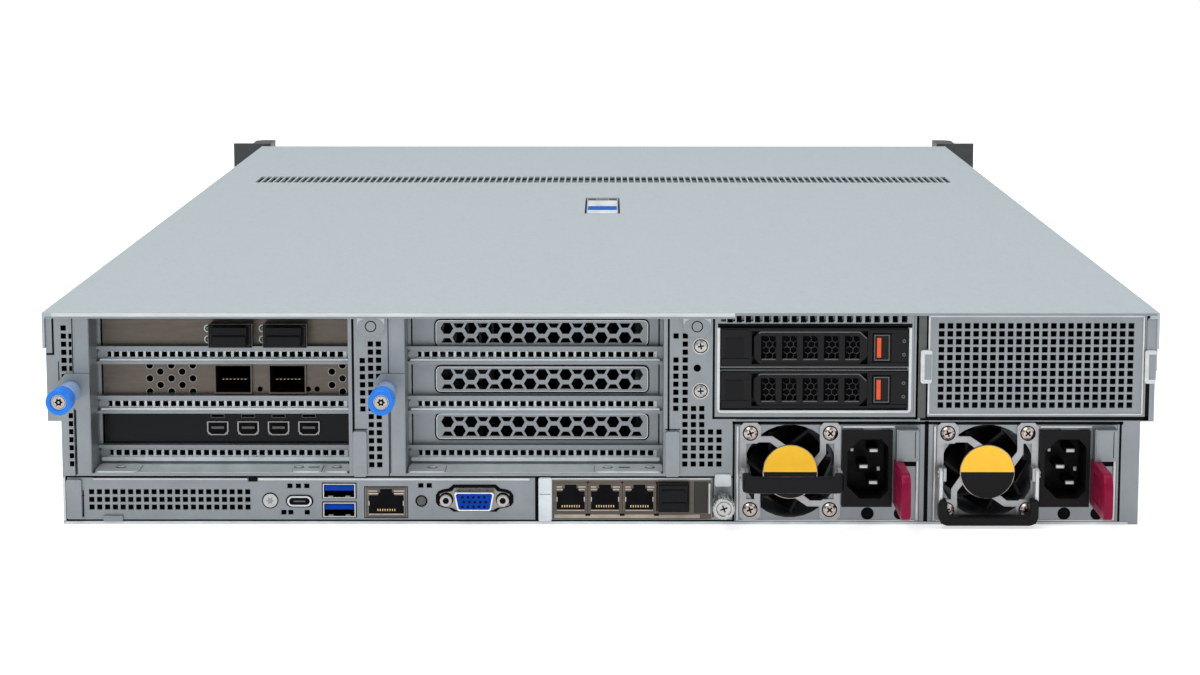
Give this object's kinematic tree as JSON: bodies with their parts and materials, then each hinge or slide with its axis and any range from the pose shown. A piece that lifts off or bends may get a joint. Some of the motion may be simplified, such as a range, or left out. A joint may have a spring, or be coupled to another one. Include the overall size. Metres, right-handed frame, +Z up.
{
  "type": "two-unit rack server",
  "caption": "Two-unit rack server with lift-off cover, plug-in power supplies, rear drive carriers, riser cages, port row and rack ears.",
  "frame": {"origin": "underside of the tray, midway between its sides and midway along it", "axes": "+Z up, -Y out of the rear face, +Y out of the drive bays, +X to the right of someone behind the server"},
  "size_m": [0.4826, 0.8142, 0.0875],
  "materials": {
    "galvanised": "galvanised sheet steel, satin",
    "cover_paint": "pale grey textured coating",
    "ear_black": "matt charcoal",
    "nickel": "nickel-plated, satin",
    "black_bracket": "glossy black",
    "board_green": "solder mask",
    "black_plastic": "matt black",
    "port_shell": "bright tin plate",
    "port_blue": "moulded blue",
    "blue_knob": "moulded blue",
    "bright_screw": "zinc plated",
    "carrier_black": "moulded black",
    "release_orange": "black with an orange mark",
    "magenta": "moulded magenta",
    "badge": "yellow and black badge on a stamped guard",
    "aluminium": "plain fins",
    "latch_blue": "grey with a blue band"
  },
  "bodies": {
    "chassis": {"chassis_tray": "galvanised", "rear_wall": "galvanised", "rack_ears": "ear_black", "riser_cages": "galvanised", "riser_boards": "board_green", "card_boards": "board_green", "card_brackets": "nickel", "display_bracket": "black_bracket", "transceiver_cages": "port_shell", "port_plugs": "black_plastic", "display_ports": "black_plastic", "slot_covers": "galvanised", "module_blank": "galvanised", "io_plate": "galvanised", "usb_ports": "port_shell", "network_sockets": "port_shell", "video_port": "port_blue", "module_plate": "nickel", "rear_drive_cage": "galvanised", "rear_blank_panel": "galvanised", "system_board": "board_green", "heatsinks": "aluminium", "memory_modules": "board_green", "fan_frames": "black_plastic", "front_drive_cage": "galvanised", "front_backplane": "board_green", "front_blanks": "carrier_black", "rail_studs": "bright_screw"},
    "cover": {"top_cover": "cover_paint"},
    "latch": {"cover_latch": "latch_blue"},
    "power_key": {"power_button": "black_plastic"},
    "id_key": {"id_button": "black_plastic"},
    "screw_left": {"riser_thumbscrew_left": "blue_knob"},
    "screw_right": {"riser_thumbscrew_right": "blue_knob"},
    "screw_module": {"module_thumbscrew": "bright_screw"},
    "fan_1": {"fan_rotor_1": "black_plastic"},
    "fan_2": {"fan_rotor_2": "black_plastic"},
    "fan_3": {"fan_rotor_3": "black_plastic"},
    "fan_4": {"fan_rotor_4": "black_plastic"},
    "supply_1": {"supply_1_case": "galvanised", "supply_1_guard": "badge", "supply_1_inlet": "black_plastic"},
    "supply_1_grip": {"supply_1_handle": "black_plastic"},
    "supply_1_release": {"supply_1_tongue": "magenta"},
    "supply_1_fan": {"supply_1_rotor": "black_plastic"},
    "supply_2": {"supply_2_case": "galvanised", "supply_2_guard": "badge", "supply_2_inlet": "black_plastic"},
    "supply_2_grip": {"supply_2_handle": "black_plastic"},
    "supply_2_release": {"supply_2_tongue": "magenta"},
    "supply_2_fan": {"supply_2_rotor": "black_plastic"},
    "rear_drive_lower": {"rear_carrier_lower": "carrier_black"},
    "rear_drive_lower_lever": {"rear_lever_lower": "carrier_black"},
    "rear_drive_lower_release": {"rear_release_lower": "release_orange"},
    "rear_drive_upper": {"rear_carrier_upper": "carrier_black"},
    "rear_drive_upper_lever": {"rear_lever_upper": "carrier_black"},
    "rear_drive_upper_release": {"rear_release_upper": "release_orange"},
    "front_drive": {"front_carrier": "carrier_black"},
    "front_drive_lever": {"front_lever": "carrier_black"},
    "front_drive_release": {"front_release": "release_orange"}
  },
  "joints": [
    {"name": "cover_lift", "type": "slide", "parent": "chassis", "child": "cover", "axis": [0, 0, 1], "range_m": [0, 0.12]},
    {"name": "latch_turn", "type": "hinge", "parent": "cover", "child": "latch", "pos_m": [0, -0.016, 0.083], "axis": [1, 0, 0], "range_deg": [0, 70]},
    {"name": "power_press", "type": "slide", "parent": "chassis", "child": "power_key", "axis": [0, -1, 0], "range_m": [0, 0.0012], "stiffness_N_per_m": 600},
    {"name": "id_press", "type": "slide", "parent": "chassis", "child": "id_key", "axis": [0, 1, 0], "range_m": [0, 0.001], "stiffness_N_per_m": 500},
    {"name": "screw_left_turn", "type": "hinge", "parent": "chassis", "child": "screw_left", "pos_m": [-0.2117, -0.375, 0.0544], "axis": [0, 1, 0], "continuous": true},
    {"name": "screw_right_turn", "type": "hinge", "parent": "chassis", "child": "screw_right", "pos_m": [-0.0857, -0.375, 0.0544], "axis": [0, 1, 0], "continuous": true},
    {"name": "screw_module_turn", "type": "hinge", "parent": "chassis", "child": "screw_module", "pos_m": [0.049, -0.375, 0.0095], "axis": [0, 1, 0], "continuous": true},
    {"name": "fan_1_spin", "type": "hinge", "parent": "chassis", "child": "fan_1", "pos_m": [-0.15, 0.15, 0.0412], "axis": [0, 1, 0], "continuous": true},
    {"name": "fan_2_spin", "type": "hinge", "parent": "chassis", "child": "fan_2", "pos_m": [-0.05, 0.15, 0.0412], "axis": [0, 1, 0], "continuous": true},
    {"name": "fan_3_spin", "type": "hinge", "parent": "chassis", "child": "fan_3", "pos_m": [0.05, 0.15, 0.0412], "axis": [0, 1, 0], "continuous": true},
    {"name": "fan_4_spin", "type": "hinge", "parent": "chassis", "child": "fan_4", "pos_m": [0.15, 0.15, 0.0412], "axis": [0, 1, 0], "continuous": true},
    {"name": "supply_1_pull", "type": "slide", "parent": "chassis", "child": "supply_1", "axis": [0, -1, 0], "range_m": [0, 0.2]},
    {"name": "supply_1_handle_turn", "type": "hinge", "parent": "supply_1", "child": "supply_1_grip", "pos_m": [0.076, -0.3808, 0.0218], "axis": [1, 0, 0], "range_deg": [0, 90]},
    {"name": "supply_1_tongue_press", "type": "hinge", "parent": "supply_1", "child": "supply_1_release", "pos_m": [0.1194, -0.3776, 0.0177], "axis": [0, 0, 1], "range_deg": [-7, 0], "stiffness_Nm_per_rad": 0.4},
    {"name": "supply_1_fan_spin", "type": "hinge", "parent": "supply_1", "child": "supply_1_fan", "pos_m": [0.076, -0.362, 0.0218], "axis": [0, 1, 0], "continuous": true},
    {"name": "supply_2_pull", "type": "slide", "parent": "chassis", "child": "supply_2", "axis": [0, -1, 0], "range_m": [0, 0.2]},
    {"name": "supply_2_handle_turn", "type": "hinge", "parent": "supply_2", "child": "supply_2_grip", "pos_m": [0.155, -0.3808, 0.0218], "axis": [1, 0, 0], "range_deg": [-90, 0]},
    {"name": "supply_2_tongue_press", "type": "hinge", "parent": "supply_2", "child": "supply_2_release", "pos_m": [0.1984, -0.3776, 0.0177], "axis": [0, 0, 1], "range_deg": [-7, 0], "stiffness_Nm_per_rad": 0.4},
    {"name": "supply_2_fan_spin", "type": "hinge", "parent": "supply_2", "child": "supply_2_fan", "pos_m": [0.155, -0.362, 0.0218], "axis": [0, 1, 0], "continuous": true},
    {"name": "rear_drive_lower_pull", "type": "slide", "parent": "chassis", "child": "rear_drive_lower", "axis": [0, -1, 0], "range_m": [0, 0.118]},
    {"name": "rear_drive_lower_lever_turn", "type": "hinge", "parent": "rear_drive_lower", "child": "rear_drive_lower_lever", "pos_m": [0.0629, -0.3725, 0.0549], "axis": [0, 0, 1], "range_deg": [-60, 0]},
    {"name": "rear_drive_lower_release_press", "type": "slide", "parent": "rear_drive_lower", "child": "rear_drive_lower_release", "axis": [0, 1, 0], "range_m": [0, 0.0012], "stiffness_N_per_m": 500},
    {"name": "rear_drive_upper_pull", "type": "slide", "parent": "chassis", "child": "rear_drive_upper", "axis": [0, -1, 0], "range_m": [0, 0.118]},
    {"name": "rear_drive_upper_lever_turn", "type": "hinge", "parent": "rear_drive_upper", "child": "rear_drive_upper_lever", "pos_m": [0.0629, -0.3725, 0.0719], "axis": [0, 0, 1], "range_deg": [-60, 0]},
    {"name": "rear_drive_upper_release_press", "type": "slide", "parent": "rear_drive_upper", "child": "rear_drive_upper_release", "axis": [0, 1, 0], "range_m": [0, 0.0012], "stiffness_N_per_m": 500},
    {"name": "front_drive_pull", "type": "slide", "parent": "chassis", "child": "front_drive", "axis": [0, 1, 0], "range_m": [0, 0.16]},
    {"name": "front_drive_release_press", "type": "slide", "parent": "front_drive", "child": "front_drive_release", "axis": [0, -1, 0], "range_m": [0, 0.0012], "stiffness_N_per_m": 500},
    {"name": "front_drive_lever_turn", "type": "hinge", "parent": "front_drive", "child": "front_drive_lever", "pos_m": [-0.197, 0.3845, 0.0433], "axis": [0, 0, 1], "range_deg": [0, 60]}
  ]
}
